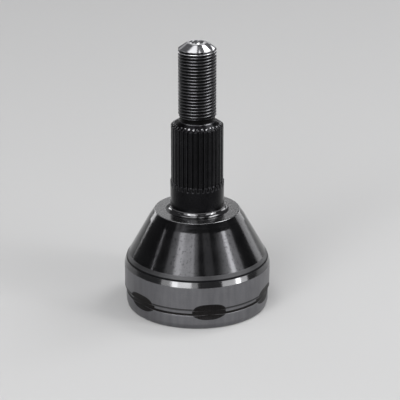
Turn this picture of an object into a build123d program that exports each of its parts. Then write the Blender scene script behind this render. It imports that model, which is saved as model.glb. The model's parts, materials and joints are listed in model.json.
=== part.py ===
from build123d import *
import math
import os

# Wheel-side constant velocity joint: a forged bell with its stub shaft, and the ball joint inside it.
# Millimetres. The origin is the joint centre, where the axle shaft bends, and +Z runs up the stub shaft.
# Heights are measured from the joint centre unless their name says otherwise.

# Ball joint
BALL_COUNT = 6
BALL_R = 9.525  # balls of three quarters of an inch
PITCH_R = 31.0  # circle of the ball centres
TRACK_OFFSET = 3.8  # outer track centre below the joint centre, inner track centre above it
TRACK_GAP = 0.35  # track groove radius beyond the ball radius
MAX_ANGLE = 45.0  # furthest bend of the joint, in degrees
TRACK_SWEEP = 50.0  # tracks run on to this angle past their open ends, clear of the metal

# Ball cage
CAGE_OUT = 3.3  # outer sphere beyond the pitch circle
CAGE_IN = 2.0  # inner sphere inside the pitch circle
CAGE_HALF_H = 15.5
CAGE_BORE_INSET = 2.8  # mouth bore of the cage inside its inner sphere
CAGE_GAP = 0.35  # from the cage to each race
WINDOW_GAP = 0.45  # ball to the upper and lower window faces
WINDOW_RISE = 0.12  # windows above the mid plane, which evens the gap when the joint bends
WINDOW_TRAVEL = 1.3  # sideways shift of a ball in its window when the joint bends
WINDOW_CORNER_R = 5.5
CAGE_EDGE = 0.5

# Inner race
RACE_HALF_H = 12.0
BORE_R = 12.0  # tips of the bore teeth
BORE_TOOTH_H = 1.0
BORE_TEETH = 28
BORE_TIP_ARC = 5.2  # tip of a bore tooth, in degrees
BORE_ROOT_ARC = 3.4  # root of a gap between bore teeth, in degrees
BORE_CHAMFER = 1.4
RING_GROOVE_Z = 8.4
WIRE_R = 0.9  # round wire of the snap ring
WIRE_SIDE_GAP = 0.1
WIRE_IN_GAP = 0.2  # wire inside the tips of the bore teeth, left free for the shaft
WIRE_SPRING_ROOM = 0.5  # groove floor beyond the wire
WIRE_OPENING = 34.0  # gap between the ends of the ring, in degrees

# Bell, inside
MOUTH_DEPTH = 21.0  # mouth face below the joint centre
FLARE_ANGLE = 45.0  # half angle of the mouth flare
MOUTH_LIP = 3.7  # width of the mouth face
FLOOR_GAP = 1.6  # cavity floor above the highest corner of the bent cage
DIMPLE_R = 9.0
DIMPLE_TOP_R = 5.0
DIMPLE_H = 2.5
TRACK_END_ROOM = 3.0  # rolling room beyond the ball at the closed end of a track, in degrees

# Bell, outside
TRACK_WALL = 3.9  # thinnest wall, from the tracks out to the boot groove
LOWER_BAND_STEP = 0.6  # lower band beyond the boot groove floor
BAND_STEP = 1.55  # ground band beyond the boot groove floor
LEAD_IN = 0.7  # lower band tapers in by this much at the mouth
LEAD_IN_H = 3.3
MOUTH_EDGE = 0.6  # chamfer outside the mouth
GROOVE_LOW_H = 9.3  # boot groove, from the mouth face
GROOVE_HIGH_H = 12.7
BAND_TOP_H = 28.3  # top of the ground band, from the mouth face
RIM_H = 3.7  # bright rim above the band
RIM_IN = 1.25
RIM_HOLLOW = 0.18  # how far the rim is hollowed
LIP_STEP = 0.25
LIP_STEP_H = 0.8
LIP_H = 2.3
LIP_IN = 1.5
CONE_H = 23.5
CONE_IN = 13.0
COLLAR_H = 5.2
COLLAR_IN = 3.5

# Forged recesses between the tracks
RECESS_FLAT_R = 90.0  # forged surface, which is flatter than the turned band
RECESS_TOP_H = 17.3  # from the mouth face
RECESS_LOW_H = 5.3
RECESS_DEPTH = 0.62  # below the ground band
RECESS_LOW_DEPTH = 0.34  # below the lower band
RECESS_STEP_H = 0.9  # height of the step at the top of a recess

# Stub shaft, from the shoulder up
SEAT_R = 17.0
SEAT_FILLET = 3.0
SEAT_H = 16.3
SPLINE_R = 16.5
SPLINE_TEETH = 33
SPLINE_H = 39.8
SPLINE_TOOTH_H = 1.15
SPLINE_TIP_ARC = 4.5  # tip of a tooth, in degrees
SPLINE_ROOT_ARC = 3.2  # root of a gap, in degrees
RUNOUT_H = 3.2  # gaps rise to the surface over this height at their lower end
SHAFT_CHAMFER_H = 3.9
THREAD_R = 12.0
NECK_DEPTH = 1.0
NECK_H = 3.0
NECK_EDGE = 0.8
THREAD_H = 42.6
TIP_H = 4.0
TIP_FACE_R = 6.4
DRILL_R = 4.2
DRILL_ANGLE = 60.0
PILOT_R = 2.0
PILOT_H = 7.0

CUT_CLEAR = 1.0  # cutters stand out of the metal by this much
SKIN = 0.02  # a cutter that ends at a surface ends this far outside it

# Worked-out sizes of the ball joint
track_r = BALL_R + TRACK_GAP
track_arc_r = math.hypot(PITCH_R, TRACK_OFFSET)
rest_angle = math.degrees(math.atan2(TRACK_OFFSET, PITCH_R))
ball_step = 360 / BALL_COUNT
cage_out_r = PITCH_R + CAGE_OUT
cage_in_r = PITCH_R - CAGE_IN
cage_bore_r = cage_in_r - CAGE_BORE_INSET
race_r = cage_in_r - CAGE_GAP
cavity_r = cage_out_r + CAGE_GAP
cage_corner_angle = math.degrees(math.asin(CAGE_HALF_H / cage_out_r))
cavity_floor_z = cage_out_r * math.sin(math.radians(cage_corner_angle + MAX_ANGLE / 2)) + FLOOR_GAP
wire_ring_r = BORE_R + WIRE_IN_GAP + WIRE_R

# Worked-out sizes of the bell
mouth_z = -MOUTH_DEPTH
groove_floor_r = track_arc_r + track_r + TRACK_WALL
lower_band_r = groove_floor_r + LOWER_BAND_STEP
band_r = groove_floor_r + BAND_STEP
mouth_outer_r = lower_band_r - LEAD_IN
rim_top_r = band_r - RIM_IN
lip_r = rim_top_r - LIP_STEP
cone_low_r = lip_r - LIP_IN
cone_top_r = cone_low_r - CONE_IN
shoulder_r = cone_top_r - COLLAR_IN
band_top_z = mouth_z + BAND_TOP_H
rim_top_z = band_top_z + RIM_H
lip_z = rim_top_z + LIP_STEP_H
cone_low_z = lip_z + LIP_H
cone_top_z = cone_low_z + CONE_H
shoulder_z = cone_top_z + COLLAR_H
seat_top_z = shoulder_z + SEAT_H
spline_top_z = seat_top_z + SPLINE_H
runout_top_z = seat_top_z + RUNOUT_H
neck_z = spline_top_z + SHAFT_CHAMFER_H
thread_z = neck_z + NECK_H
bevel_z = thread_z + THREAD_H
tip_z = bevel_z + TIP_H
neck_r = THREAD_R - NECK_DEPTH


def turned(edges):
    """Solid of revolution about Z from a closed outline in the XZ plane."""
    return revolve(make_face(edges), Axis.Z)


def polar(radius, degrees):
    """Point in the XY plane."""
    angle = math.radians(degrees)
    return (radius * math.cos(angle), radius * math.sin(angle))


def in_xz(radius, z):
    return (radius, 0, z)


def bell_body():
    """Outside of the bell and its stub shaft, with the centre drilling in its tip."""
    groove_low_z = mouth_z + GROOVE_LOW_H
    groove_high_z = mouth_z + GROOVE_HIGH_H
    rim_middle = in_xz((band_r + rim_top_r) / 2 - RIM_HOLLOW, (band_top_z + rim_top_z) / 2 - RIM_HOLLOW)
    low = Polyline(
        in_xz(0, mouth_z),
        in_xz(mouth_outer_r - MOUTH_EDGE, mouth_z),
        in_xz(mouth_outer_r, mouth_z + MOUTH_EDGE),
        in_xz(lower_band_r, mouth_z + LEAD_IN_H),
        in_xz(lower_band_r, groove_low_z),
        in_xz(groove_floor_r, groove_low_z),
        in_xz(groove_floor_r, groove_high_z),
        in_xz(band_r, groove_high_z),
        in_xz(band_r, band_top_z),
    )
    rim = ThreePointArc(in_xz(band_r, band_top_z), rim_middle, in_xz(rim_top_r, rim_top_z))
    cone = Polyline(
        in_xz(rim_top_r, rim_top_z),
        in_xz(lip_r, lip_z),
        in_xz(cone_low_r, cone_low_z),
        in_xz(cone_top_r, cone_top_z),
        in_xz(shoulder_r, shoulder_z),
        in_xz(SEAT_R + SEAT_FILLET, shoulder_z),
    )
    fillet_turn = SEAT_FILLET * (1 - math.sqrt(0.5))
    seat_fillet = ThreePointArc(
        in_xz(SEAT_R + SEAT_FILLET, shoulder_z),
        in_xz(SEAT_R + fillet_turn, shoulder_z + fillet_turn),
        in_xz(SEAT_R, shoulder_z + SEAT_FILLET),
    )
    shaft = Polyline(
        in_xz(SEAT_R, shoulder_z + SEAT_FILLET),
        in_xz(SEAT_R, runout_top_z),
        in_xz(SPLINE_R, runout_top_z),
        in_xz(SPLINE_R, spline_top_z),
        in_xz(THREAD_R, neck_z - NECK_EDGE),
        in_xz(neck_r, neck_z),
        in_xz(neck_r, thread_z - NECK_DEPTH),
        in_xz(THREAD_R, thread_z),
        in_xz(THREAD_R, bevel_z),
        in_xz(TIP_FACE_R, tip_z),
        in_xz(0, tip_z),
        in_xz(0, mouth_z),
    )
    body = turned([low, rim, cone, seat_fillet, shaft])
    return body - centre_drilling()


def centre_drilling():
    """Sixty degree centre with its pilot hole in the tip of the stub shaft."""
    countersink_h = (DRILL_R - PILOT_R) / math.tan(math.radians(DRILL_ANGLE / 2))
    return turned(
        Polyline(
            in_xz(0, tip_z),
            in_xz(DRILL_R, tip_z),
            in_xz(PILOT_R, tip_z - countersink_h),
            in_xz(PILOT_R, tip_z - PILOT_H),
            in_xz(0, tip_z - PILOT_H - PILOT_R / 2),
            close=True,
        )
    )


def cavity():
    """Spherical seat of the cage, its floor with a grease dimple, and the flared mouth."""
    bowl = turned(
        Polyline(
            in_xz(0, mouth_z - CUT_CLEAR),
            in_xz(cavity_r + CUT_CLEAR, mouth_z - CUT_CLEAR),
            in_xz(cavity_r + CUT_CLEAR, cavity_floor_z),
            in_xz(0, cavity_floor_z),
            close=True,
        )
    )
    bowl = bowl & Sphere(cavity_r)
    dimple = Pos(0, 0, cavity_floor_z + DIMPLE_H / 2) * Cone(DIMPLE_R, DIMPLE_TOP_R, DIMPLE_H)
    flare_r = mouth_outer_r - MOUTH_LIP
    flare_h = flare_r / math.tan(math.radians(FLARE_ANGLE))
    flare = turned(
        Polyline(
            in_xz(0, mouth_z - CUT_CLEAR),
            in_xz(flare_r, mouth_z - CUT_CLEAR),
            in_xz(flare_r, mouth_z),
            in_xz(0, mouth_z + flare_h),
            close=True,
        )
    )
    return [bowl, dimple, flare]


def track_cutter(centre_z, low_angle, high_angle):
    """Groove cutter: a round bar bent about the track centre, in the XZ plane."""
    pivot = Axis(in_xz(0, centre_z), (0, -1, 0))
    section = Plane(origin=in_xz(track_arc_r, centre_z), z_dir=(0, 0, 1)) * Circle(track_r)
    return revolve(section, pivot, high_angle - low_angle).rotate(pivot, low_angle)


def outer_track_cutter():
    """Track of the bell: it runs out into the flare and ends round where the ball stops."""
    end_angle = rest_angle + MAX_ANGLE / 2 + TRACK_END_ROOM
    angle = math.radians(end_angle)
    end_point = in_xz(track_arc_r * math.cos(angle), track_arc_r * math.sin(angle) - TRACK_OFFSET)
    travel = in_xz(-math.sin(angle), math.cos(angle))
    half_ball = Sphere(track_r, 0, 90, align=(Align.CENTER, Align.CENTER, Align.MIN))
    round_end = Plane(origin=end_point, z_dir=travel) * half_ball
    return track_cutter(-TRACK_OFFSET, -TRACK_SWEEP, end_angle) + round_end


def recess_cutter():
    """Forged, flatter surface that the turning tool leaves between two tracks."""
    top_z = mouth_z + RECESS_TOP_H
    low_z = mouth_z + RECESS_LOW_H
    groove_z = mouth_z + (GROOVE_LOW_H + GROOVE_HIGH_H) / 2
    clear_r = band_r + CUT_CLEAR
    forged = Spline(
        in_xz(band_r + SKIN, top_z),
        in_xz(band_r - 0.75 * RECESS_DEPTH, top_z - RECESS_STEP_H),
        in_xz(band_r - RECESS_DEPTH, (top_z + groove_z) / 2),
        in_xz(lower_band_r - RECESS_LOW_DEPTH, mouth_z + GROOVE_LOW_H - 1),
        in_xz(lower_band_r + SKIN, low_z),
    )
    outside = Polyline(
        in_xz(lower_band_r + SKIN, low_z),
        in_xz(clear_r, low_z),
        in_xz(clear_r, top_z),
        in_xz(band_r + SKIN, top_z),
    )
    turn = Axis(in_xz(band_r - RECESS_DEPTH - RECESS_FLAT_R, 0), (0, 0, 1))
    sweep = 2 * math.degrees(0.55 * math.radians(ball_step) * band_r / RECESS_FLAT_R)
    return revolve(make_face([forged, outside]), turn, sweep).rotate(turn, -sweep / 2)


def gap_section(root_r, z):
    """Section of one gap between spline teeth, pointing along +X, its root at the given radius."""
    gap_arc = 360 / SPLINE_TEETH - SPLINE_TIP_ARC
    flank = (gap_arc - SPLINE_ROOT_ARC) / 2 / SPLINE_TOOTH_H
    open_r = root_r + SPLINE_TOOTH_H + CUT_CLEAR
    open_arc = gap_arc + 2 * flank
    corners = [
        polar(root_r, -SPLINE_ROOT_ARC / 2),
        polar(open_r, -open_arc / 2),
        polar(open_r, open_arc / 2),
        polar(root_r, SPLINE_ROOT_ARC / 2),
    ]
    return Pos(0, 0, z) * make_face(Polyline(*corners, close=True))


def spline_gaps():
    """Gaps between the teeth of the stub shaft, each rising to the surface at its lower end."""
    root = gap_section(SPLINE_R - SPLINE_TOOTH_H, runout_top_z)
    gap = extrude(root, neck_z - runout_top_z, dir=(0, 0, 1))
    gap += loft([gap_section(SEAT_R - SKIN, seat_top_z), root])
    return [gap.rotate(Axis.Z, 360 / SPLINE_TEETH * i) for i in range(SPLINE_TEETH)]


def make_outer_race():
    race = bell_body() - cavity()
    track = outer_track_cutter()
    recess = recess_cutter()
    tracks = [track.rotate(Axis.Z, ball_step * i) for i in range(BALL_COUNT)]
    recesses = [recess.rotate(Axis.Z, ball_step * (i + 0.5)) for i in range(BALL_COUNT)]
    race -= tracks
    race -= recesses
    return race - spline_gaps()


def make_ball_cage():
    """Spherical ring with a window for each ball."""
    end_r = math.sqrt(cage_out_r**2 - (CAGE_HALF_H - CAGE_EDGE) ** 2)
    bore_z = math.sqrt(cage_in_r**2 - cage_bore_r**2)
    outside = ThreePointArc(
        in_xz(end_r, CAGE_HALF_H - CAGE_EDGE), in_xz(cage_out_r, 0), in_xz(end_r, CAGE_EDGE - CAGE_HALF_H)
    )
    low_end = Polyline(
        in_xz(end_r, CAGE_EDGE - CAGE_HALF_H),
        in_xz(end_r - CAGE_EDGE, -CAGE_HALF_H),
        in_xz(cage_bore_r + CAGE_EDGE, -CAGE_HALF_H),
        in_xz(cage_bore_r, CAGE_EDGE - CAGE_HALF_H),
        in_xz(cage_bore_r, -bore_z),
    )
    inside = ThreePointArc(in_xz(cage_bore_r, -bore_z), in_xz(cage_in_r, 0), in_xz(cage_bore_r, bore_z))
    high_end = Polyline(
        in_xz(cage_bore_r, bore_z),
        in_xz(cage_bore_r, CAGE_HALF_H - CAGE_EDGE),
        in_xz(cage_bore_r + CAGE_EDGE, CAGE_HALF_H),
        in_xz(end_r - CAGE_EDGE, CAGE_HALF_H),
        in_xz(end_r, CAGE_HALF_H - CAGE_EDGE),
    )
    ring = turned([outside, low_end, inside, high_end])
    width = 2 * (BALL_R + WINDOW_TRAVEL + WINDOW_GAP)
    height = 2 * (BALL_R + WINDOW_GAP)
    face = Plane(origin=in_xz(0, WINDOW_RISE), x_dir=(0, 1, 0), z_dir=(1, 0, 0))
    window = extrude(face * RectangleRounded(width, height, WINDOW_CORNER_R), cage_out_r + CUT_CLEAR)
    return ring - [window.rotate(Axis.Z, ball_step * i) for i in range(BALL_COUNT)]


def bore_outline():
    """Closed outline of the toothed bore that takes the axle shaft."""
    pitch = 360 / BORE_TEETH
    flank = (pitch - BORE_TIP_ARC - BORE_ROOT_ARC) / 2
    root_r = BORE_R + BORE_TOOTH_H
    edges = []
    for i in range(BORE_TEETH):
        start = pitch * i - BORE_TIP_ARC / 2
        tip_end = start + BORE_TIP_ARC
        root_start = tip_end + flank
        root_end = root_start + BORE_ROOT_ARC
        edges.append(ThreePointArc(polar(BORE_R, start), polar(BORE_R, pitch * i), polar(BORE_R, tip_end)))
        edges.append(Line(polar(BORE_R, tip_end), polar(root_r, root_start)))
        middle = polar(root_r, (root_start + root_end) / 2)
        edges.append(ThreePointArc(polar(root_r, root_start), middle, polar(root_r, root_end)))
        edges.append(Line(polar(root_r, root_end), polar(BORE_R, start + pitch)))
    return make_face(edges)


def make_inner_race():
    """Inner race: a ball with flat ends, six tracks, the toothed bore and the snap ring's groove."""
    end_r = math.sqrt(race_r**2 - RACE_HALF_H**2)
    chamfer_r = BORE_R + BORE_CHAMFER
    blank = turned(
        [
            ThreePointArc(in_xz(end_r, RACE_HALF_H), in_xz(race_r, 0), in_xz(end_r, -RACE_HALF_H)),
            Polyline(
                in_xz(end_r, -RACE_HALF_H),
                in_xz(chamfer_r, -RACE_HALF_H),
                in_xz(BORE_R / 2, BORE_CHAMFER + BORE_R / 2 - RACE_HALF_H),
                in_xz(BORE_R / 2, RACE_HALF_H - BORE_CHAMFER - BORE_R / 2),
                in_xz(chamfer_r, RACE_HALF_H),
                in_xz(end_r, RACE_HALF_H),
            ),
        ]
    )
    bore = Pos(0, 0, -RACE_HALF_H) * extrude(bore_outline(), 2 * RACE_HALF_H, dir=(0, 0, 1))
    groove_r = wire_ring_r + WIRE_R + WIRE_SPRING_ROOM
    groove = Pos(0, 0, RING_GROOVE_Z) * Cylinder(groove_r, 2 * (WIRE_R + WIRE_SIDE_GAP))
    track = track_cutter(TRACK_OFFSET, -TRACK_SWEEP, TRACK_SWEEP)
    tracks = [track.rotate(Axis.Z, ball_step * i) for i in range(BALL_COUNT)]
    return blank - bore - groove - tracks


def make_retaining_ring():
    """Open ring of round wire, its opening towards +X."""
    section = Plane(origin=in_xz(wire_ring_r, RING_GROOVE_Z), z_dir=(0, 1, 0)) * Circle(WIRE_R)
    return revolve(section, Axis.Z, 360 - WIRE_OPENING).rotate(Axis.Z, WIRE_OPENING / 2)


def make_ball(index):
    return (Pos(PITCH_R, 0, 0) * Sphere(BALL_R)).rotate(Axis.Z, ball_step * index)


nodes = {
    "outer_race": make_outer_race(),
    "ball_cage": make_ball_cage(),
    "inner_race": make_inner_race(),
    "retaining_ring": make_retaining_ring(),
}
for i in range(BALL_COUNT):
    nodes[f"ball_{i + 1}"] = make_ball(i)

os.makedirs("parts", exist_ok=True)
for name, solid in nodes.items():
    export_step(solid, f"parts/{name}.step")
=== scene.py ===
import json
import math

import bmesh
import bpy
from mathutils import Matrix, Vector


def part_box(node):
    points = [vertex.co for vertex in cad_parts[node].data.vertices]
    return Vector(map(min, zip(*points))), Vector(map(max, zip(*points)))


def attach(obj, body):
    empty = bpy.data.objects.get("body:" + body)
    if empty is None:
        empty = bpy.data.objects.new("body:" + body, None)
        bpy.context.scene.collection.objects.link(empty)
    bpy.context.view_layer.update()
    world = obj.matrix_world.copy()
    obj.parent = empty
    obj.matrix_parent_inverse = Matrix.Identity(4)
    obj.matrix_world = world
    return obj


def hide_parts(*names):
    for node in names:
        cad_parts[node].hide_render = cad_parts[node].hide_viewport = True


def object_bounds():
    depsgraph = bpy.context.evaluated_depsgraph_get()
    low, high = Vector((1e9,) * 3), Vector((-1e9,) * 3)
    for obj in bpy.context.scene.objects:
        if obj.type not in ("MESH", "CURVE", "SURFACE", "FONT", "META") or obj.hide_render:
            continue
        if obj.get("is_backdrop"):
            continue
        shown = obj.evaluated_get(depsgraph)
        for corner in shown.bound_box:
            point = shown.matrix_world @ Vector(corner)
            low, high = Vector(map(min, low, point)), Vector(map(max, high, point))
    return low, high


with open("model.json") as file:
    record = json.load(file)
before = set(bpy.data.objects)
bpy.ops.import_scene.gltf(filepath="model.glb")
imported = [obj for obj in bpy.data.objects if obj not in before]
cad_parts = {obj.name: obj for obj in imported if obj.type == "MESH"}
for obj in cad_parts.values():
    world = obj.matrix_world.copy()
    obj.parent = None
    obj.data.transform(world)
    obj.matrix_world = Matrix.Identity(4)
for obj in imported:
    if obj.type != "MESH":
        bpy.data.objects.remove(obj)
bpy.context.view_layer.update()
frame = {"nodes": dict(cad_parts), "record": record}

bl_info = {
    "name": "CV joint dresser",
    "version": (1, 0, 0),
    "blender": (4, 5, 0),
    "location": "View3D > Sidebar > CV joint",
    "description": "Dresses a wheel-side constant velocity joint: bell, stub, cage, race, balls and ring",
    "category": "Object",
}

MM = 0.001
SHARP_ANGLE = math.radians(38)
EDGE_ANGLE = math.radians(40)

# Distances that count as none: two between points in metres, and one between sizes in millimetres
SAME_PLACE = 1e-6
NO_LENGTH = 1e-7
NEAR = 0.02

# Turned outside of the bell and stub shaft, in millimetres. MOUTH_Z and TIP_Z are heights from the joint's
# centre, and all others are heights above the mouth
MOUTH_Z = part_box("outer_race")[0][2] / MM
TIP_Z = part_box("outer_race")[1][2] / MM
FLARE_R = 41.2
FLARE_STEP = 0.3
MOUTH_FACE_R = 44.3
LOWER_BAND_R = 45.6
LOWER_BAND_TOP = 9.3
GROOVE_R = 45.0
BAND_R = 46.55
BAND_LOW = 12.7
BAND_TOP = 28.3
MOUTH_CORNERS = [
    (MOUTH_FACE_R, 0.0), (44.9, 0.6), (LOWER_BAND_R, 3.3), (LOWER_BAND_R, LOWER_BAND_TOP),
    (GROOVE_R, LOWER_BAND_TOP), (GROOVE_R, BAND_LOW), (BAND_R, BAND_LOW),
]
RIM_MIDDLE = (45.98, 30.0)
RIM_TOP = (45.3, 32.0)
LIP_LOW = (45.05, 32.8)
CONE_LOW = (43.55, 35.1)
CONE_TOP = (30.55, 58.6)
SHOULDER = (27.05, 63.8)
SEAT_R = 17.0
SEAT_FILLET = 3.0
RUNOUT_LOW = 80.1
RUNOUT_TOP = 83.3
SPLINE_R = 16.5
SPLINE_TOP = 119.9
NECK_R = 11.0
NECK_LOW = 123.8
TAPER_TOP = NECK_LOW - 0.8
THREAD_LOW = 126.8
THREAD_TOP = 169.4
TIP_FACE_R = 6.4
DRILL_R = 4.2
DRILL_H = 3.81
PILOT_R = 2.0
PILOT_H = 7.0
PILOT_POINT = 1.0

# Thread profile: half the angle of its V, the crest's share of the pitch, the break of its edges, and the
# turns that are wound too many at each end and then trimmed
FLANK_ANGLE = math.radians(30)
CREST_SHARE = 0.2
CREST_BREAK = 0.13
SPARE_TURNS = 2

# Forged recesses between the ball tracks: degrees from one to the next, and heights. The upper band's
# radius holds from just above the lower band
RECESS_PITCH = 60
RECESS_LOW = 5.3
RECESS_TOP = 17.3
RECESS_ZONE = (3.0, 19.0)
UPPER_BAND_FROM = LOWER_BAND_TOP + 0.5
OVAL_POWER = 2.6

# The CAD mesh counts as outside down to this depth below the cone, and all of it above this height
CONE_SKIN = 1.0
INSIDE_TOP = 52.0

# Zones of the finishes, in millimetres: from one height to another, or from one distance from the joint's
# centre to another
# Painted shade: the dark lower part of the groove, and the dark line at the groove's upper edge
GROOVE_FLOOR_SHADE = (9.2, 10.5)
GROOVE_EDGE_SHADE = (13.7, 14.1)
RIM_LINE = (RIM_TOP[1] - 0.2, LIP_LOW[1] + 0.1)
FORGED_FLOOR = (47.5, 48.5)
# Painted highlight: the line of bright specks in the spline's taper
HIGHLIGHT_LINE = (120.9, 121.5)
CAGE_OUTER = (34.15, 34.25)
CAGE_INNER = (29.15, 29.05)

# In millimetres too: how far below the thread's top its crests are bright and how deep those reach, the
# depths at which the thread's darkening towards its roots starts and is full, how softly the dark lines,
# with the groove's painted shade among them, and the painted highlight specks end, and the radius at which
# the streaks' spacing holds
BRIGHT_TURN = 2.6
CREST_DEPTH = 0.15
ROOT_DARK_START = 0.25
ROOT_DARK_FULL = 0.8
LINE_SOFT = 0.15
HIGHLIGHT_SOFT = 0.2
STREAK_R = 45.0

# Steps of the mesh: round the axis it has a whole number for each tooth, and a third of them on the thread
TEETH = 33
TOOTH_STEPS = 12
ROUND_STEPS = TOOTH_STEPS * TEETH
THREAD_SHARE = 3
THREAD_STEPS = ROUND_STEPS // THREAD_SHARE
FILLET_STEPS = 8
RUNOUT_STEPS = 7
CHAMFER_STEPS = 8

# In millimetres: how near to both ends a long straight gets an extra point, what counts as long, and the
# spacing of the rows of points up the bands
HOLD = 0.25
LONG_STRAIGHT = 4 * HOLD
RECESS_ROW = 0.5

# A gap between teeth, in steps: where its middle is, half its root, a flank, half its opening. The last is
# the share of a flank's width that is left at the foot of the run-out
GAP_MIDDLE = 6.5
ROOT_STEPS = 1.5
FLANK_STEPS = 2.0
GAP_STEPS = ROOT_STEPS + FLANK_STEPS
NARROWEST = 0.15

# Stage: the photo's frame in pixels, the camera's sensor in millimetres, and the rest in metres
PHOTO_WIDTH = 400
SHIFT_PIXELS = 2.8
SENSOR_WIDTH = 36
LAMP_AIM = 0.03
FLOOR_GAP = 0.0002
FLOOR_HOLE = (MOUTH_FACE_R - 0.6) * MM
FLOOR_HOLE_STEPS = 96
FLOOR_RINGS = (0.2, 1.0, 6.0)


def find_mount(name):
    """A mount of the part's record, by its name."""
    for mount in frame["record"]["mounts"]:
        if mount["name"] == name:
            return mount
    raise RuntimeError(f"the record has no mount named {name}")


THREAD_R = find_mount("stub_thread")["dims"]["r_mm"]
THREAD_DEPTH = THREAD_R - NECK_R
NECK_TOP = THREAD_LOW - THREAD_DEPTH


class CvJointSizes(bpy.types.PropertyGroup):
    """Sizes of the details that the looks add to the joint."""

    thread_pitch: bpy.props.FloatProperty(
        name="Thread pitch", description="Rise of the stub thread in one turn, in millimetres", default=2.0
    )
    tooth_depth: bpy.props.FloatProperty(
        name="Tooth depth", description="Depth of the gaps between teeth, in millimetres", default=1.15
    )
    edge_break: bpy.props.FloatProperty(
        name="Edge break", description="Rounding of the turned edges, in millimetres", default=0.3
    )
    recess_depth: bpy.props.FloatProperty(
        name="Recess depth", description="Depth of the forged recesses, in millimetres", default=0.62
    )
    forged_radius: bpy.props.FloatProperty(
        name="Forged radius", description="Radius of the recesses in plan, in millimetres", default=90.0
    )


class CvJointFinish(bpy.types.PropertyGroup):
    """Colours of the steel surfaces."""

    black: bpy.props.FloatVectorProperty(
        name="Black steel", description="Oiled black surface of cone and shaft", subtype="COLOR", size=3,
        default=(0.038, 0.038, 0.040), min=0, max=1
    )
    ground: bpy.props.FloatVectorProperty(
        name="Ground steel", description="Ground bands and thread", subtype="COLOR", size=3,
        default=(0.172, 0.172, 0.182), min=0, max=1
    )
    rim: bpy.props.FloatVectorProperty(
        name="Polished rim", description="Dark ring above the band, and the fillet", subtype="COLOR", size=3,
        default=(0.11, 0.11, 0.113), min=0, max=1
    )
    shoulder: bpy.props.FloatVectorProperty(
        name="Hub shoulder", description="Turned face that the wheel hub rests on", subtype="COLOR", size=3,
        default=(0.30, 0.30, 0.305), min=0, max=1
    )
    shaft: bpy.props.FloatVectorProperty(
        name="Stub shaft", description="Blackened spline and seat", subtype="COLOR", size=3,
        default=(0.011, 0.011, 0.012), min=0, max=1
    )
    bright: bpy.props.FloatVectorProperty(
        name="Bright steel", description="Freshly cut tip, worn edges and balls", subtype="COLOR", size=3,
        default=(0.52, 0.52, 0.54), min=0, max=1
    )
    lip: bpy.props.FloatVectorProperty(
        name="Matte lip", description="Matte ring above the rim, and the snap ring", subtype="COLOR", size=3,
        default=(0.07, 0.07, 0.073), min=0, max=1
    )
    forged: bpy.props.FloatVectorProperty(
        name="Forged skin", description="Recesses and bell floor, left as forged", subtype="COLOR", size=3,
        default=(0.012, 0.011, 0.011), min=0, max=1
    )
    hardened: bpy.props.FloatVectorProperty(
        name="Hardened steel", description="Tracks, cage and inner race", subtype="COLOR", size=3,
        default=(0.30, 0.30, 0.31), min=0, max=1
    )


class CvJointStage(bpy.types.PropertyGroup):
    """Camera, lamps, floor and room."""

    azimuth: bpy.props.FloatProperty(
        name="Azimuth", description="Camera's turn round the joint", subtype="ANGLE",
        default=math.radians(-9.7)
    )
    elevation: bpy.props.FloatProperty(
        name="Elevation", description="Camera's angle above the horizon", subtype="ANGLE",
        default=math.radians(21.2)
    )
    distance: bpy.props.FloatProperty(
        name="Distance", description="From the camera to the joint", unit="LENGTH", default=1.206
    )
    aim_height: bpy.props.FloatProperty(
        name="Aim height", description="Height on the axis that the camera points at", unit="LENGTH",
        default=0.0483
    )
    lens: bpy.props.FloatProperty(name="Lens", description="Focal length", unit="CAMERA", default=171.0)
    floor_colour: bpy.props.FloatVectorProperty(
        name="Floor", description="Paint of the floor", subtype="COLOR", size=3,
        default=(0.62, 0.62, 0.62), min=0, max=1
    )
    room_colour: bpy.props.FloatVectorProperty(
        name="Room", description="Dim light of the room round the lamps", subtype="COLOR", size=3,
        default=(0.15, 0.15, 0.155), min=0, max=1
    )
    lamp_level: bpy.props.FloatProperty(
        name="Lamp level", description="Scales all lamps together", default=1.0, min=0.0
    )


# Mesh tools


def chain(bm, points):
    """A chain of edges in the XZ plane, from (radius, height above the mouth) in millimetres."""
    verts = [bm.verts.new((r * MM, 0, (MOUTH_Z + h) * MM)) for r, h in points]
    for pair in zip(verts, verts[1:]):
        bm.edges.new(pair)
    return verts


def break_edges(bm, verts, width, segments=3):
    """Rounds corners of a chain."""
    bmesh.ops.bevel(
        bm, geom=verts, offset=width * MM, offset_type="OFFSET", segments=segments, profile=0.5,
        affect="VERTICES", material=-1
    )


def spin(bm, angle, steps, rise=0.0, merge=False, copy=False):
    """Spins all of a mesh about the joint's axis, with a rise in millimetres at each step.

    With copy, it is repeated round the axis instead of swept.
    """
    bmesh.ops.spin(
        bm, geom=bm.verts[:] + bm.edges[:] + bm.faces[:], cent=(0, 0, 0), axis=(0, 0, 1),
        dvec=(0, 0, rise * MM), angle=angle, steps=steps, use_merge=merge, use_normal_flip=False,
        use_duplicate=copy
    )


def height_of(point):
    """Height above the mouth face, in millimetres."""
    return point.z / MM - MOUTH_Z


def radius_of(point):
    """Distance from the joint's axis, in millimetres."""
    return math.hypot(point.x, point.y) / MM


def set_radius(vert, radius, azimuth=None):
    """Moves a point to a radius in millimetres, and round the axis where an azimuth is given."""
    azimuth = math.atan2(vert.co.y, vert.co.x) if azimuth is None else azimuth
    vert.co.x = radius * MM * math.cos(azimuth)
    vert.co.y = radius * MM * math.sin(azimuth)


def weld(bm):
    """Merges points that lie on each other, and takes out edges without length."""
    bmesh.ops.remove_doubles(bm, verts=bm.verts[:], dist=SAME_PLACE)
    bmesh.ops.dissolve_degenerate(bm, edges=bm.edges[:], dist=NO_LENGTH)


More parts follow.
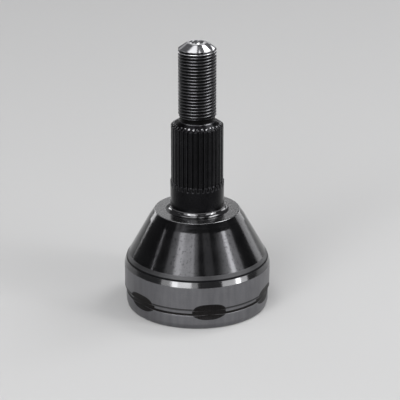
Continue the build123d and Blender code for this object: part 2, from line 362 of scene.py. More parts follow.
def make_piece(bm, name, body, node, materials):
    """Makes a mesh object that rides on a body and stands for a CAD node."""
    bmesh.ops.recalc_face_normals(bm, faces=bm.faces[:])
    mesh = bpy.data.meshes.new(name)
    bm.to_mesh(mesh)
    bm.free()
    for material in materials:
        mesh.materials.append(material)
    mesh.shade_smooth()
    mesh.set_sharp_from_angle(angle=SHARP_ANGLE)
    piece = bpy.data.objects.new(name, mesh)
    bpy.context.scene.collection.objects.link(piece)
    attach(piece, body)
    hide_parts(node)
    return piece


# Outer race


def outside_corners():
    """Corners of the outside from the mouth to the neck, and which of them are rounded."""
    corners = MOUTH_CORNERS + [(BAND_R, BAND_TOP), RIM_MIDDLE, RIM_TOP, LIP_LOW]
    corners += [CONE_LOW, CONE_TOP, SHOULDER]
    rounded = set(corners) - {RIM_MIDDLE}
    for i in range(FILLET_STEPS + 1):
        angle = math.pi / 2 * i / FILLET_STEPS
        out_by = SEAT_FILLET * (1 - math.sin(angle))
        up_by = SEAT_FILLET * (1 - math.cos(angle))
        corners.append((SEAT_R + out_by, SHOULDER[1] + up_by))
    corners.append((SEAT_R, RUNOUT_LOW - HOLD))
    runout = RUNOUT_TOP - RUNOUT_LOW
    corners += [(SEAT_R, RUNOUT_LOW + runout * i / RUNOUT_STEPS) for i in range(RUNOUT_STEPS + 1)]
    corners += [(SPLINE_R, RUNOUT_TOP), (SPLINE_R, SPLINE_TOP)]
    for i in range(1, CHAMFER_STEPS + 1):
        part = i / CHAMFER_STEPS
        radius = SPLINE_R + (THREAD_R - SPLINE_R) * part
        corners.append((radius, SPLINE_TOP + (TAPER_TOP - SPLINE_TOP) * part))
    corners += [(NECK_R, NECK_LOW), (NECK_R, NECK_TOP)]
    return corners, rounded


def split_flats(bm):
    """Adds a point near both ends of each long straight, which keeps its shading flat."""
    for edge in bm.edges[:]:
        length = edge.calc_length() / MM
        if length > LONG_STRAIGHT:
            first, last = edge.verts
            bmesh.utils.edge_split(edge, first, HOLD / length)
            rest = next(e for e in last.link_edges if e.calc_length() / MM > length - 2 * HOLD)
            bmesh.utils.edge_split(rest, last, HOLD / (length - HOLD))


def split_recess_rows(bm):
    """Adds rows of points up the bands, so that the outline of the forged recesses is smooth."""
    for edge in bm.edges[:]:
        low, high = sorted(height_of(vert.co) for vert in edge.verts)
        upright = abs(edge.verts[0].co.x - edge.verts[1].co.x) < SAME_PLACE
        cuts = int(edge.calc_length() / MM / RECESS_ROW)
        if upright and cuts and RECESS_LOW - RECESS_ROW < low and high < BAND_TOP:
            bmesh.ops.subdivide_edges(bm, edges=[edge], cuts=cuts)


def cut_gap(bm, sizes):
    """Sinks the gap of one tooth's share: three steps of root with two of flank at each side."""
    step = math.tau / ROUND_STEPS
    for vert in bm.verts:
        height = height_of(vert.co)
        radius = radius_of(vert.co)
        if not RUNOUT_LOW - NEAR < height < TAPER_TOP + NEAR or radius > SEAT_R + NEAR:
            continue
        azimuth = math.atan2(vert.co.y, vert.co.x)
        side = round(azimuth / step) - GAP_MIDDLE
        if abs(side) > GAP_STEPS:
            continue
        rise = max(0.0, 1 - (height - RUNOUT_LOW) / (RUNOUT_TOP - RUNOUT_LOW))
        share = 1 - rise**2
        surface = SEAT_R if height < RUNOUT_TOP else SPLINE_R
        root = surface - (surface - SPLINE_R + sizes.tooth_depth) * share
        depth = (surface - root) * min(1.0, (GAP_STEPS - abs(side)) / FLANK_STEPS)
        if abs(side) > ROOT_STEPS:
            narrow = ROOT_STEPS + (abs(side) - ROOT_STEPS) * max(share, NARROWEST)
            azimuth += (math.copysign(narrow, side) - side) * step
        set_radius(vert, min(radius, surface - depth), azimuth)


def turn_outside(bm, sizes):
    """Outside from the mouth to the neck: one tooth's share of a turn, its gap cut, then copied round."""
    corners, rounded = outside_corners()
    verts = chain(bm, [(FLARE_R + FLARE_STEP, 0.0)] + corners)
    sharp = [vert for vert, corner in zip(verts[1:], corners) if corner in rounded]
    break_edges(bm, sharp, sizes.edge_break)
    split_flats(bm)
    split_recess_rows(bm)
    tooth_turn = math.tau / TEETH
    spin(bm, tooth_turn, TOOTH_STEPS)
    cut_gap(bm, sizes)
    spin(bm, math.tau - tooth_turn, TEETH - 1, copy=True)
    weld(bm)


def thin_out_top_loop(bm):
    """Merges the neck's last loop to a third of its steps, to meet the thread."""
    step = math.tau / ROUND_STEPS
    loop = {}
    for vert in bm.verts:
        if abs(height_of(vert.co) - NECK_TOP) < NEAR:
            loop[round(math.atan2(vert.co.y, vert.co.x) / step) % ROUND_STEPS] = vert
    targets = {}
    for column in range(0, ROUND_STEPS, THREAD_SHARE):
        for beside in (column - 1, column + 1):
            targets[loop[beside % ROUND_STEPS]] = loop[column]
    bmesh.ops.weld_verts(bm, targetmap=targets)


def wind_thread(bm, sizes):
    """Winds one turn's profile up the stub, then trims it to the neck's chamfer and the tip's bevel.

    Returns the height at which the bevel has cut down to the thread's roots.
    """
    pitch = sizes.thread_pitch
    bevel_slope = (THREAD_R - TIP_FACE_R) / (TIP_Z - MOUTH_Z - THREAD_TOP)
    high = THREAD_TOP + THREAD_DEPTH / bevel_slope
    flank = THREAD_DEPTH * math.tan(FLANK_ANGLE)
    crest = CREST_SHARE * pitch
    root = (pitch - 2 * flank - crest) / 2
    middle_r = (THREAD_R + NECK_R) / 2
    start = NECK_TOP - SPARE_TURNS * pitch
    profile = [(NECK_R, 0), (NECK_R, root), (middle_r, root + flank / 2), (THREAD_R, root + flank)]
    profile += [(THREAD_R, root + flank + crest), (middle_r, root + 1.5 * flank + crest)]
    profile += [(NECK_R, pitch - root), (NECK_R, pitch)]
    verts = chain(bm, [(r, start + h) for r, h in profile])
    break_edges(bm, verts[3:5], CREST_BREAK, segments=1)
    turns = math.ceil((high - start) / pitch) + SPARE_TURNS
    spin(bm, math.tau, THREAD_STEPS, rise=pitch / THREAD_STEPS)
    spin(bm, math.tau * (turns - 1), turns - 1, rise=pitch, copy=True)
    step = math.tau / THREAD_STEPS
    for vert in bm.verts:
        height = height_of(vert.co)
        limit = min(THREAD_R, NECK_R + max(0.0, height - NECK_TOP))
        limit = min(limit, THREAD_R - max(0.0, height - THREAD_TOP) * bevel_slope)
        limit = max(limit, NECK_R)
        column = round(math.atan2(vert.co.y, vert.co.x) / step)
        set_radius(vert, min(radius_of(vert.co), limit), column * step)
        vert.co.z = (MOUTH_Z + min(max(height, NECK_TOP), high)) * MM
    weld(bm)
    return high


def turn_tip(bm, start, sizes):
    """Bevelled end of the stub with its centre drilling."""
    top = TIP_Z - MOUTH_Z
    corners = [(NECK_R, start), (TIP_FACE_R, top), (DRILL_R, top), (PILOT_R, top - DRILL_H)]
    corners += [(PILOT_R, top - PILOT_H), (0, top - PILOT_H - PILOT_POINT)]
    verts = chain(bm, corners)
    break_edges(bm, verts[1:3], sizes.edge_break)
    spin(bm, math.tau, THREAD_STEPS, merge=True)


def join_meshes(target, *sources):
    """Adds the faces of other meshes to one, keeping their finishes."""
    for source in sources:
        mesh = bpy.data.meshes.new("joining")
        source.to_mesh(mesh)
        source.free()
        target.from_mesh(mesh)
        bpy.data.meshes.remove(mesh)


def line_up_gaps(bm):
    """Turns the mesh so that the middle of a gap points along X, as on the CAD part."""
    turn_back = Matrix.Rotation(-GAP_MIDDLE * math.tau / ROUND_STEPS, 3, "Z")
    bmesh.ops.rotate(bm, verts=bm.verts[:], cent=(0, 0, 0), matrix=turn_back)


def sink_recesses(bm, sizes):
    """Presses the flatter forged surface between the ball tracks into the bands, and marks its oval."""
    forged = bm.verts.layers.float.new("forged")
    middle = (RECESS_LOW + RECESS_TOP) / 2
    half_height = (RECESS_TOP - RECESS_LOW) / 2
    for vert in bm.verts:
        height = height_of(vert.co)
        radius = radius_of(vert.co)
        if not RECESS_ZONE[0] < height < RECESS_ZONE[1]:
            continue
        azimuth = math.degrees(math.atan2(vert.co.y, vert.co.x))
        across = radius * math.radians(azimuth % RECESS_PITCH - RECESS_PITCH / 2)
        band_r = BAND_R if height > UPPER_BAND_FROM else LOWER_BAND_R
        flattening = (1 / band_r - 1 / sizes.forged_radius) / 2
        reach = math.sqrt(sizes.recess_depth / flattening)
        rise = abs(height - middle) / half_height
        oval = 1 - abs(across / reach) ** OVAL_POWER - rise**OVAL_POWER
        vert[forged] = oval
        if oval > 0:
            half_width = reach * (1 - rise**OVAL_POWER) ** (1 / OVAL_POWER)
            set_radius(vert, min(radius, band_r - flattening * (half_width**2 - across**2)))


# Finishes of the outer race, in the order of its mesh's material slots
FINISHES = [
    "ground_steel", "polished_steel", "matte_lip", "black_steel", "shoulder_steel", "spline_steel",
    "thread_steel", "bright_tip", "track_steel",
]

# Heights above which the finishes of the outside start, from the top down. Below them all is ground steel,
# and the stub's fillet, inside the last radius, is polished
FINISH_STARTS = [
    (THREAD_TOP + 0.1, "bright_tip"),
    (NECK_LOW - 0.9, "thread_steel"),
    (SHOULDER[1] + SEAT_FILLET - 0.1, "spline_steel"),
    (SHOULDER[1] - 0.3, "shoulder_steel"),
    (CONE_LOW[1] + 0.05, "black_steel"),
    (LIP_LOW[1] - 0.35, "matte_lip"),
    (BAND_TOP - 0.12, "polished_steel"),
]
FILLET_EDGE_R = SEAT_R + SEAT_FILLET - 0.1


def outside_finish(point):
    """Name of the finish at a place on the outside."""
    height = height_of(point)
    radius = radius_of(point)
    if height > THREAD_TOP - BRIGHT_TURN and radius > THREAD_R - CREST_DEPTH:
        return "bright_tip"
    finish = next((name for start, name in FINISH_STARTS if height > start), "ground_steel")
    if finish == "shoulder_steel" and radius <= FILLET_EDGE_R:
        return "polished_steel"
    return finish


def on_outside(point):
    """Whether a place on the CAD bell is on the outside, or on the mouth face beyond the flare."""
    slope = (CONE_LOW[0] - CONE_TOP[0]) / (CONE_TOP[1] - CONE_LOW[1])
    cone_r = CONE_LOW[0] - (height_of(point) - CONE_LOW[1]) * slope
    return radius_of(point) > min(FLARE_R + NEAR, cone_r - CONE_SKIN) or height_of(point) > INSIDE_TOP


def cad_inside():
    """The flare, tracks and seat of the cage, taken from the CAD mesh."""
    bm = bmesh.new()
    bm.from_mesh(frame["nodes"]["outer_race"].data)
    bmesh.ops.remove_doubles(bm, verts=bm.verts[:], dist=SAME_PLACE)
    outside = [face for face in bm.faces if any(on_outside(vert.co) for vert in face.verts)]
    bmesh.ops.delete(bm, geom=outside, context="FACES")
    for face in bm.faces:
        face.material_index = FINISHES.index("track_steel")
    return bm


def close_mouth(bm):
    """Fills the ring between the open edges of the flare and of the outside, on the mouth face."""
    rings = [edge for edge in bm.edges if edge.is_boundary]
    ring_face = bmesh.ops.triangle_fill(
        bm, edges=rings, use_beauty=True, use_dissolve=False, normal=(0, 0, -1)
    )
    for item in ring_face["geom"]:
        if isinstance(item, bmesh.types.BMFace):
            item.material_index = FINISHES.index("ground_steel")


def mark_edges(bm):
    """Marks how sharp the outward edges at each point are, for the wear on them."""
    bmesh.ops.recalc_face_normals(bm, faces=bm.faces[:])
    edge_mark = bm.verts.layers.float.new("edge")
    for vert in bm.verts:
        angles = [edge.calc_face_angle_signed(0.0) for edge in vert.link_edges if edge.is_manifold]
        vert[edge_mark] = min(1.0, max([0.0] + angles) / EDGE_ANGLE)


class CVJOINT_OT_outer_race(bpy.types.Operator):
    """Build the bell and stub shaft with spline teeth, thread and forged recesses"""

    bl_idname = "cvjoint.outer_race"
    bl_label = "Bell and stub shaft"

    def execute(self, context):
        sizes = context.scene.cv_joint_sizes
        outside = bmesh.new()
        turn_outside(outside, sizes)
        thin_out_top_loop(outside)
        thread = bmesh.new()
        thread_end = wind_thread(thread, sizes)
        tip = bmesh.new()
        turn_tip(tip, thread_end, sizes)
        join_meshes(outside, thread, tip)
        line_up_gaps(outside)
        sink_recesses(outside, sizes)
        for face in outside.faces:
            face.material_index = FINISHES.index(outside_finish(face.calc_center_median()))
        join_meshes(outside, cad_inside())
        weld(outside)
        close_mouth(outside)
        mark_edges(outside)
        open_edges = sum(not edge.is_manifold for edge in outside.edges)
        if open_edges:
            raise RuntimeError(f"the bell's mesh has {open_edges} open edges")
        make_piece(
            outside, "bell_and_stub_shaft", "bell", "outer_race",
            [bpy.data.materials[name] for name in FINISHES]
        )
        return {"FINISHED"}


# Finishes


def add(tree, kind, inputs=(), **settings):
    """Adds a shader node. An input given as a socket is linked, and any other is set."""
    node = tree.nodes.new(kind)
    for name, value in settings.items():
        setattr(node, name, value)
    for key, value in dict(inputs).items():
        if isinstance(value, bpy.types.NodeSocket):
            tree.links.new(value, node.inputs[key])
        else:
            node.inputs[key].default_value = value
    return node


def calc(tree, operation, *values, clamp=False):
    """Result of a Math node."""
    return add(tree, "ShaderNodeMath", enumerate(values), operation=operation, use_clamp=clamp).outputs[0]


def remap(tree, value, low, high, to_low=0.0, to_high=1.0):
    """Maps a value from one range to another, and holds it at the ends."""
    ends = {"Value": value, "From Min": low, "From Max": high, "To Min": to_low, "To Max": to_high}
    return add(tree, "ShaderNodeMapRange", ends).outputs["Result"]


def blend_colour(tree, mask, first, second):
    """First colour where the mask is 0, second where it is 1."""
    first, second = (c if isinstance(c, bpy.types.NodeSocket) else (*c, 1) for c in (first, second))
    return add(tree, "ShaderNodeMix", {0: mask, 6: first, 7: second}, data_type="RGBA").outputs[2]


def blend_value(tree, mask, first, second):
    """First value where the mask is 0, second where it is 1."""
    return add(tree, "ShaderNodeMix", {0: mask, 2: first, 3: second}, data_type="FLOAT").outputs[0]


def between(tree, value, low, high, soft):
    """Mask that is 1 between two values and fades over a soft width outside them."""
    rising = remap(tree, value, low - soft, low)
    falling = remap(tree, value, high, high + soft, 1.0, 0.0)
    return calc(tree, "MULTIPLY", rising, falling)


def new_group(name, inputs, outputs):
    """An empty node group with float inputs, given with their defaults, and float outputs."""
    group = bpy.data.node_groups.new(name, "ShaderNodeTree")
    for socket, default in inputs.items():
        made = group.interface.new_socket(name=socket, in_out="INPUT", socket_type="NodeSocketFloat")
        made.default_value = default
    for socket in outputs:
        group.interface.new_socket(name=socket, in_out="OUTPUT", socket_type="NodeSocketFloat")
    return group, add(group, "NodeGroupInput").outputs, add(group, "NodeGroupOutput").inputs


def use_group(tree, group_name, **values):
    """Adds one of the shared effects, with its inputs set by name."""
    return add(tree, "ShaderNodeGroup", values, node_tree=bpy.data.node_groups[group_name])


def make_place_group():
    """Where a point is on the joint: radius, height above the mouth, way round, distance from the centre."""
    group, _, out = new_group("place_on_joint", {}, ["Radius", "Height", "Round", "Reach"])
    point = add(group, "ShaderNodeTexCoord").outputs["Object"]
    axes = add(group, "ShaderNodeSeparateXYZ", {0: point}).outputs
    squares = [calc(group, "MULTIPLY", axis, axis) for axis in (axes[0], axes[1])]
    across = calc(group, "SQRT", calc(group, "ADD", *squares))
    reach = add(group, "ShaderNodeVectorMath", {0: point}, operation="LENGTH").outputs["Value"]
    group.links.new(calc(group, "DIVIDE", across, MM), out["Radius"])
    group.links.new(calc(group, "SUBTRACT", calc(group, "DIVIDE", axes[2], MM), MOUTH_Z), out["Height"])
    group.links.new(calc(group, "ARCTAN2", axes[1], axes[0]), out["Round"])
    group.links.new(calc(group, "DIVIDE", reach, MM), out["Reach"])


# Noises of the steel's grain: how many times coarser than it, detail, and the range that is stretched
GRAIN_LAYERS = {
    "Fine": (1.0, 2.0, 0.3, 0.7),
    "Cloud": (16.0, 3.0, 0.32, 0.68),
    "Pits": (2.2, 1.0, 0.60, 0.68),
}


def make_grain_group():
    """Grain, cloudy patches and small pits of a steel surface. Size is the grain's, in millimetres."""
    group, given, out = new_group("steel_grain", {"Size": 0.4}, list(GRAIN_LAYERS))
    point = add(group, "ShaderNodeTexCoord").outputs["Object"]
    per_metre = calc(group, "DIVIDE", 1 / MM, given["Size"])
    for layer, (coarser, detail, low, high) in GRAIN_LAYERS.items():
        scale = calc(group, "DIVIDE", per_metre, coarser)
        noise = add(group, "ShaderNodeTexNoise", {"Vector": point, "Scale": scale, "Detail": detail})
        group.links.new(remap(group, noise.outputs[0], low, high), out[layer])


def make_marks_group():
    """Fine rings left by the lathe or the grinding wheel. Spacing is in millimetres."""
    group, given, out = new_group("tool_marks", {"Spacing": 0.3}, ["Marks"])
    place = use_group(group, "place_on_joint").outputs
    along = calc(group, "ADD", place["Height"], calc(group, "MULTIPLY", place["Radius"], 0.8))
    wave = calc(group, "SINE", calc(group, "MULTIPLY", place["Round"], 3.0))
    wander = calc(group, "MULTIPLY", wave, 0.05)
    line = calc(group, "ADD", calc(group, "DIVIDE", along, given["Spacing"]), wander)
    settings = {"W": line, "Scale": 1.0, "Detail": 3.0, "Roughness": 0.65}
    noise = add(group, "ShaderNodeTexNoise", settings, noise_dimensions="1D")
    group.links.new(remap(group, noise.outputs[0], 0.3, 0.7), out["Marks"])


def make_streaks_group():
    """Streaks that run up the bands, as grinding leaves. Spacing and length are in millimetres."""
    group, given, out = new_group("upright_streaks", {"Spacing": 3.5, "Length": 30.0}, ["Streaks"])
    place = use_group(group, "place_on_joint").outputs
    arc = calc(group, "MULTIPLY", place["Round"], STREAK_R)
    turn_by = calc(group, "DIVIDE", arc, given["Spacing"])
    rise = calc(group, "DIVIDE", place["Height"], given["Length"])
    point = add(group, "ShaderNodeCombineXYZ", {0: turn_by, 1: rise}).outputs[0]
    settings = {"Vector": point, "Scale": 1.0, "Detail": 3.0}
    noise = add(group, "ShaderNodeTexNoise", settings, noise_dimensions="2D")
    group.links.new(remap(group, noise.outputs[0], 0.3, 0.7), out["Streaks"])


def make_wear_group():
    """Edges rubbed bright, from the mesh's own mark of its edges, broken up by grain."""
    group, given, out = new_group("edge_wear", {"Amount": 0.5, "Size": 0.5}, ["Wear"])
    edge = add(group, "ShaderNodeAttribute", attribute_name="edge").outputs["Fac"]
    grain = use_group(group, "steel_grain", Size=given["Size"])
    broken = calc(group, "ADD", calc(group, "MULTIPLY", grain.outputs["Fine"], 0.5), 0.5)
    patchy = calc(group, "ADD", calc(group, "MULTIPLY", grain.outputs["Cloud"], 0.6), 0.4)
    wear = calc(group, "MULTIPLY", calc(group, "MULTIPLY", edge, broken), patchy)
    group.links.new(calc(group, "MULTIPLY", wear, given["Amount"], clamp=True), out["Wear"])


def new_material(name):
    """Makes a material. Returns its nodes and the inputs of its Principled shader."""
    material = bpy.data.materials.new(name)
    material.use_nodes = True
    return material.node_tree, material.node_tree.nodes["Principled BSDF"].inputs


def scaled(colour, factor):
    """A colour made darker or brighter."""
    return tuple(channel * factor for channel in colour)


# What all steels share: the clouds' share of the tone, and how dark streaks and pits are
CLOUD_SHARE = 0.4
STREAK_SHADE = 0.4
PIT_SHADE = 0.35


def make_steel(
    name, colour, rough, spread=0.05, contrast=0.25, grain=0.5, spacing=0.4, marks=0.5, pits=0.0,
    relief=0.002, streaks=0.0, wear=0.0, worn=None, patch=None
):
    """Steel with grain, tool marks, pits and worn edges.

    The roughness varies by spread and the colour by contrast. Grain and spacing are the sizes of the grain
    and of the tool marks, and relief is their depth, in millimetres. Marks is the share of the tool marks
    against the grain. Pits, streaks and wear are strengths, and worn is the colour of worn edges. A patch
    gives a mask with the colour and roughness that it brings.
    """
    tree, shader = new_material(name)
    texture = use_group(tree, "steel_grain", Size=grain).outputs
    rings = use_group(tree, "tool_marks", Spacing=spacing).outputs["Marks"]
    mixed = blend_value(tree, marks, texture["Fine"], rings)
    tone = blend_value(tree, CLOUD_SHARE, mixed, texture["Cloud"])
    tint = blend_colour(tree, tone, scaled(colour, 1 - contrast), scaled(colour, 1 + contrast))
    roughness = remap(tree, tone, 0.0, 1.0, rough - spread, rough + spread)
    if streaks:
        streak = use_group(tree, "upright_streaks").outputs["Streaks"]
        streak = calc(tree, "MULTIPLY", streak, streaks)
        tint = blend_colour(tree, streak, tint, scaled(colour, STREAK_SHADE))
    if pits:
        pit = calc(tree, "MULTIPLY", texture["Pits"], pits)
        tint = blend_colour(tree, pit, tint, scaled(colour, PIT_SHADE))
    if patch:
        mask, patch_colour, patch_rough = patch(tree)
        tint = blend_colour(tree, mask, tint, patch_colour)
        roughness = blend_value(tree, mask, roughness, patch_rough)
    if wear:
        worn_mask = use_group(tree, "edge_wear", Amount=wear).outputs["Wear"]
        tint = blend_colour(tree, worn_mask, tint, worn)
    height = calc(tree, "MULTIPLY", mixed, relief)
    bump = add(tree, "ShaderNodeBump", {"Height": height, "Strength": 1.0, "Distance": MM})
    tree.links.new(tint, shader["Base Color"])
    tree.links.new(roughness, shader["Roughness"])
    tree.links.new(bump.outputs["Normal"], shader["Normal"])
    shader["Metallic"].default_value = 1.0


# Colours that the patches bring, whatever the colour of their steel
LINE_BLACK = (0.008, 0.008, 0.009)
ROOT_DARK = (0.004, 0.004, 0.004)


def forged_skin_and_shade_patch(tree):
    """The forged recesses, and painted shade: the groove's dark lower half, and a dark line with a strip
    below it at the groove's upper edge.
    """
    finish = bpy.context.scene.cv_joint_finish
    sunk = add(tree, "ShaderNodeAttribute", attribute_name="forged").outputs["Fac"]
    height = use_group(tree, "place_on_joint").outputs["Height"]
    mask = remap(tree, sunk, 0.0, 0.06)
    # Painted shade in the forged colour: the groove's lower corner, the line at its upper edge and the strip
    # below that line
    for low, high, strength in (
        (*GROOVE_FLOOR_SHADE, 1.0), (*GROOVE_EDGE_SHADE, 0.85), (BAND_LOW, GROOVE_EDGE_SHADE[0], 0.7)
    ):
        line = calc(tree, "MULTIPLY", between(tree, height, low, high, LINE_SOFT), strength)
        mask = calc(tree, "MAXIMUM", mask, line)
    scale = use_group(tree, "steel_grain", Size=0.5).outputs["Fine"]
    skin_and_shade_colour = blend_colour(tree, scale, scaled(finish.forged, 0.6), scaled(finish.forged, 1.8))
    return mask, skin_and_shade_colour, 0.5


def rim_patch(tree):
    """The fine dark groove between the polished rim and the matte lip."""
    height = use_group(tree, "place_on_joint").outputs["Height"]
    return between(tree, height, *RIM_LINE, LINE_SOFT), LINE_BLACK, 0.6


def spline_highlight_patch(tree):
    """Painted highlights: bright specks in the taper, in line with the gaps between the teeth, where the
    rounded tooth ends catch an overhead lamp.
    """
    place = use_group(tree, "place_on_joint").outputs
    ends = between(tree, place["Height"], *HIGHLIGHT_LINE, HIGHLIGHT_SOFT)
    gap = remap(tree, calc(tree, "COSINE", calc(tree, "MULTIPLY", place["Round"], TEETH)), -0.1, 0.5)
    highlight_grain = remap(tree, use_group(tree, "steel_grain", Size=1.2).outputs["Fine"], 0.35, 0.6)
    bright = calc(tree, "MULTIPLY", calc(tree, "MULTIPLY", ends, gap), highlight_grain)
    return bright, bpy.context.scene.cv_joint_finish.bright, 0.3


def thread_patch(tree):
    """Darker towards the thread's roots."""
    radius = use_group(tree, "place_on_joint").outputs["Radius"]
    return remap(tree, radius, THREAD_R - ROOT_DARK_START, THREAD_R - ROOT_DARK_FULL), ROOT_DARK, 0.5


def track_patch(tree):
    """The forged floor of the bell, left rough above the cage's seat."""
    height = use_group(tree, "place_on_joint").outputs["Height"]
    return remap(tree, height, *FORGED_FLOOR), scaled(bpy.context.scene.cv_joint_finish.forged, 3), 0.6


def cage_patch(tree):
    """The cage's ground outer and inner faces, brighter than its other sides."""
    reach = use_group(tree, "place_on_joint").outputs["Reach"]
    ground = calc(tree, "MAXIMUM", remap(tree, reach, *CAGE_OUTER), remap(tree, reach, *CAGE_INNER))
    return ground, bpy.context.scene.cv_joint_finish.hardened, 0.22


def make_finishes():
    """Makes the shared effects, and then a steel for each finish."""
    for make_group in (
        make_place_group, make_grain_group, make_marks_group, make_streaks_group, make_wear_group
    ):
        make_group()
    finish = bpy.context.scene.cv_joint_finish
    ground = finish.ground
    bright = finish.bright
    hardened = finish.hardened
    # Ground steel's patch holds the forged recesses and the painted shade along the groove
    make_steel(
        "ground_steel", ground, rough=0.36, contrast=0.16, grain=0.7, spacing=0.5, marks=0.55,
        streaks=0.25, wear=0.5, worn=bright, patch=forged_skin_and_shade_patch
    )
    make_steel(
        "polished_steel", finish.rim, rough=0.11, spread=0.03, contrast=0.2, grain=0.4, spacing=0.3,
        marks=0.7, relief=0.001, patch=rim_patch
    )
    make_steel(
        "matte_lip", finish.lip, rough=0.48, spread=0.06, contrast=0.25, grain=0.5, spacing=0.35,
        marks=0.5, wear=0.3, worn=ground, patch=rim_patch
    )
    make_steel(
        "black_steel", finish.black, rough=0.15, spread=0.04, contrast=0.25, grain=0.55, spacing=0.5,
        marks=0.35, pits=0.7, relief=0.0012, wear=0.6, worn=scaled(ground, 0.6)
    )
    # Its worn edges are real wear and also a painted highlight along the shoulder's rounded outer edge
    make_steel(
        "shoulder_steel", finish.shoulder, rough=0.26, spread=0.06, contrast=0.15, grain=0.45, spacing=0.5,
        marks=0.3, pits=0.2, wear=0.8, worn=bright
    )
    # The spline steel's patch paints highlights in the taper
    make_steel(
        "spline_steel", finish.shaft, rough=0.24, spread=0.06, contrast=0.4, grain=0.6, spacing=0.8,
        marks=0.2, pits=0.5, wear=0.35, worn=scaled(ground, 0.5), patch=spline_highlight_patch
    )
    make_steel(
        "thread_steel", scaled(ground, 0.6), rough=0.2, spread=0.05, contrast=0.2, grain=0.5, spacing=0.4,
        marks=0.3, relief=0.0008, wear=0.4, worn=ground, patch=thread_patch
    )
    make_steel(
        "bright_tip", bright, rough=0.14, spread=0.04, contrast=0.12, grain=0.4, spacing=0.22, marks=0.8
    )
    make_steel(
        "track_steel", hardened, rough=0.26, spread=0.06, contrast=0.15, grain=0.5, spacing=0.25,
        marks=0.7, patch=track_patch
    )
    make_steel(
        "cage_steel", scaled(hardened, 0.35), rough=0.42, spread=0.06, contrast=0.3, grain=0.5,
        spacing=0.3, marks=0.3, pits=0.4, patch=cage_patch
    )
    make_steel(
        "race_steel", hardened, rough=0.24, spread=0.06, contrast=0.15, grain=0.5, spacing=0.3, marks=0.6
    )
    make_steel(
        "ball_steel", scaled(bright, 1.1), rough=0.06, spread=0.02, contrast=0.04, grain=0.6,
        spacing=2.0, marks=0.0, relief=0.0
    )
    make_steel(
        "spring_steel", finish.lip, rough=0.32, spread=0.06, contrast=0.2, grain=0.4, spacing=0.2,
        marks=0.2
    )


# Cage, inner race, balls and snap ring


def dress(node, material_name):
    """Gives a CAD node its finish."""
    mesh = frame["nodes"][node].data
    mesh.materials.clear()
    mesh.materials.append(bpy.data.materials[material_name])


class CVJOINT_OT_mechanism(bpy.types.Operator):
    """Finish the cage, inner race, balls and snap ring"""

    bl_idname = "cvjoint.mechanism"
    bl_label = "Cage, race, balls and ring"

    def execute(self, context):
        dress("ball_cage", "cage_steel")
        dress("inner_race", "race_steel")
        dress("retaining_ring", "spring_steel")
        for node in frame["nodes"]:
            if node.startswith("ball_") and node != "ball_cage":
                dress(node, "ball_steel")
        return {"FINISHED"}


# Stage


def from_joint(azimuth, elevation, distance, height=0.0):
    """Place at a bearing from the joint: azimuth 0 is in front, towards -Y."""
    flat = math.cos(elevation)
    back = Vector((math.sin(azimuth) * flat, -math.cos(azimuth) * flat, math.sin(elevation)))
    return back * distance + Vector((0, 0, height))


def aim(thing, target):
    """Points a lamp or the camera at a place."""
    thing.rotation_mode = "QUATERNION"
    thing.rotation_quaternion = (Vector(target) - thing.location).to_track_quat("-Z", "Y")


def add_lamp(name, azimuth, elevation, distance, width, height, radiance, stage):
    """Rectangular soft lamp, its azimuth counted from the camera, its level as radiance."""
    lamp = bpy.data.lights.new(name, "AREA")
    lamp.shape = "RECTANGLE"
    lamp.size = width
    lamp.size_y = height
    lamp.energy = radiance * width * height * math.pi * stage.lamp_level
    item = bpy.data.objects.new(name, lamp)
    bpy.context.scene.collection.objects.link(item)
    bearing = stage.azimuth + math.radians(azimuth)
    item.location = from_joint(bearing, math.radians(elevation), distance, LAMP_AIM)
    aim(item, (0, 0, LAMP_AIM))


def make_floor():
    """Pale floor, open under the bell's mouth and clear from below, so that the mechanism shows there."""
    bm = bmesh.new()
    hole = bmesh.ops.create_circle(bm, segments=FLOOR_HOLE_STEPS, radius=FLOOR_HOLE)["verts"]
    edges = [edge for edge in bm.edges if edge.verts[0] in hole]
    for radius in FLOOR_RINGS:
        rim = bmesh.ops.extrude_edge_only(bm, edges=edges)["geom"]
        edges = [item for item in rim if isinstance(item, bmesh.types.BMEdge)]
        for vert in {vert for edge in edges for vert in edge.verts}:
            vert.co *= radius / vert.co.length
    bmesh.ops.translate(bm, verts=bm.verts[:], vec=(0, 0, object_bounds()[0].z - FLOOR_GAP))
    bmesh.ops.recalc_face_normals(bm, faces=bm.faces[:])
    if next(iter(bm.faces)).normal.z < 0:
        bmesh.ops.reverse_faces(bm, faces=bm.faces[:])
    mesh = bpy.data.meshes.new("floor")
    bm.to_mesh(mesh)
    bm.free()
    floor = bpy.data.objects.new("floor", mesh)
    bpy.context.scene.collection.objects.link(floor)
    mesh.materials.append(make_floor_paint())
    floor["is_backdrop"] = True


def make_floor_paint():
    """Matte pale paint, seen from above only."""
    tree, shader = new_material("floor_paint")
    shader["Roughness"].default_value = 0.9
    shader["Specular IOR Level"].default_value = 0.1
    shader["Base Color"].default_value = (*bpy.context.scene.cv_joint_stage.floor_colour, 1)
    behind = add(tree, "ShaderNodeNewGeometry").outputs["Backfacing"]
    clear = add(tree, "ShaderNodeBsdfTransparent").outputs[0]
    paint = tree.nodes["Principled BSDF"].outputs[0]
    both = add(tree, "ShaderNodeMixShader", {0: behind, 1: paint, 2: clear}).outputs[0]
    tree.links.new(both, tree.nodes["Material Output"].inputs["Surface"])
    return bpy.data.materials["floor_paint"]


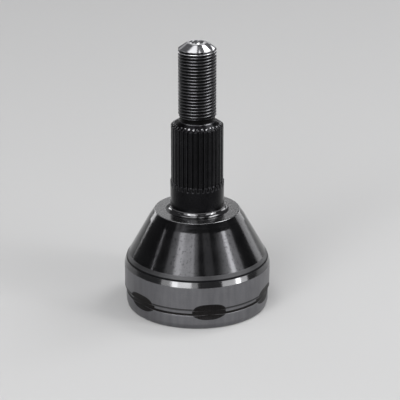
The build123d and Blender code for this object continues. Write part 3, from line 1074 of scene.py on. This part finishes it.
# Lamps: azimuth from the camera and elevation in degrees, distance, width and height in metres, radiance
LAMPS = {
    "front_left_softbox": (-24, 20, 2.40, 1.28, 1.82, 5.0),
    "front_left_fade": (-4, 20, 2.40, 0.42, 1.82, 1.5),
    "front_middle": (22, 36, 2.40, 0.59, 0.48, 0.65),
    "left_core": (-36, 20, 2.32, 0.48, 1.76, 3.0),
    "left_fill": (-49, 20, 2.40, 0.64, 1.76, 1.5),
    "right_softbox": (61, 15, 2.40, 1.95, 1.31, 3.0),
    "right_core": (65.5, 15, 2.32, 0.32, 1.28, 11.0),
    "left_strip": (-82, 23.5, 2.40, 0.038, 0.32, 12.0),
    "left_rim": (-142, 7, 2.40, 1.02, 0.42, 5.0),
    "right_rim": (134, 8, 2.40, 1.42, 0.67, 2.6),
    "back_softbox": (-165, 23, 2.56, 1.44, 0.64, 0.4),
    "back_low": (172, 13, 2.56, 1.28, 0.29, 1.6),
    "overhead_left": (-98, 73, 2.24, 0.80, 1.25, 1.6),
    "overhead_right": (115, 57, 2.24, 0.96, 0.74, 6.0),
    "overhead_middle": (75, 81, 2.24, 0.38, 0.38, 3.0),
    "upper_left": (-24, 64, 2.24, 0.64, 0.35, 6.0),
    "under_softbox": (10, -55, 0.9, 0.6, 0.6, 4.0),
}


class CVJOINT_OT_stage(bpy.types.Operator):
    """Set the floor, lamps, world and camera"""

    bl_idname = "cvjoint.stage"
    bl_label = "Stage"

    def execute(self, context):
        stage = context.scene.cv_joint_stage
        make_floor()
        for name, place in LAMPS.items():
            add_lamp(name, *place, stage)

        world = bpy.data.worlds.new("studio")
        context.scene.world = world
        world.use_nodes = True
        world.node_tree.nodes["Background"].inputs["Color"].default_value = (*stage.room_colour, 1)

        lens = bpy.data.cameras.new("camera")
        lens.lens = stage.lens
        lens.sensor_width = SENSOR_WIDTH
        lens.shift_x = SHIFT_PIXELS / PHOTO_WIDTH
        camera = bpy.data.objects.new("camera", lens)
        context.scene.collection.objects.link(camera)
        camera.location = from_joint(stage.azimuth, stage.elevation, stage.distance, stage.aim_height)
        aim(camera, (0, 0, stage.aim_height))
        context.scene.camera = camera
        context.scene.view_settings.view_transform = "Standard"
        return {"FINISHED"}


class CVJOINT_PT_panel(bpy.types.Panel):
    """Lists the joint's pieces and their settings"""

    bl_idname = "CVJOINT_PT_panel"
    bl_label = "CV joint"
    bl_space_type = "VIEW_3D"
    bl_region_type = "UI"
    bl_category = "CV joint"

    def draw(self, context):
        for operator in OPERATORS:
            self.layout.operator(operator.bl_idname)
        for name in GROUPS:
            box = self.layout.box()
            group = getattr(context.scene, name)
            for setting in group.__annotations__:
                box.prop(group, setting)


OPERATORS = (CVJOINT_OT_outer_race, CVJOINT_OT_mechanism, CVJOINT_OT_stage)
GROUPS = {
    "cv_joint_sizes": CvJointSizes,
    "cv_joint_finish": CvJointFinish,
    "cv_joint_stage": CvJointStage,
}
CLASSES = (*GROUPS.values(), *OPERATORS, CVJOINT_PT_panel)


def register():
    for cls in CLASSES:
        bpy.utils.register_class(cls)
    for name, group in GROUPS.items():
        setattr(bpy.types.Scene, name, bpy.props.PointerProperty(type=group))


def unregister():
    for name in GROUPS:
        delattr(bpy.types.Scene, name)
    for cls in reversed(CLASSES):
        bpy.utils.unregister_class(cls)


def main():
    register()
    make_finishes()
    bpy.ops.cvjoint.outer_race()
    bpy.ops.cvjoint.mechanism()
    bpy.ops.cvjoint.stage()


if __name__ == "__main__":
    main()
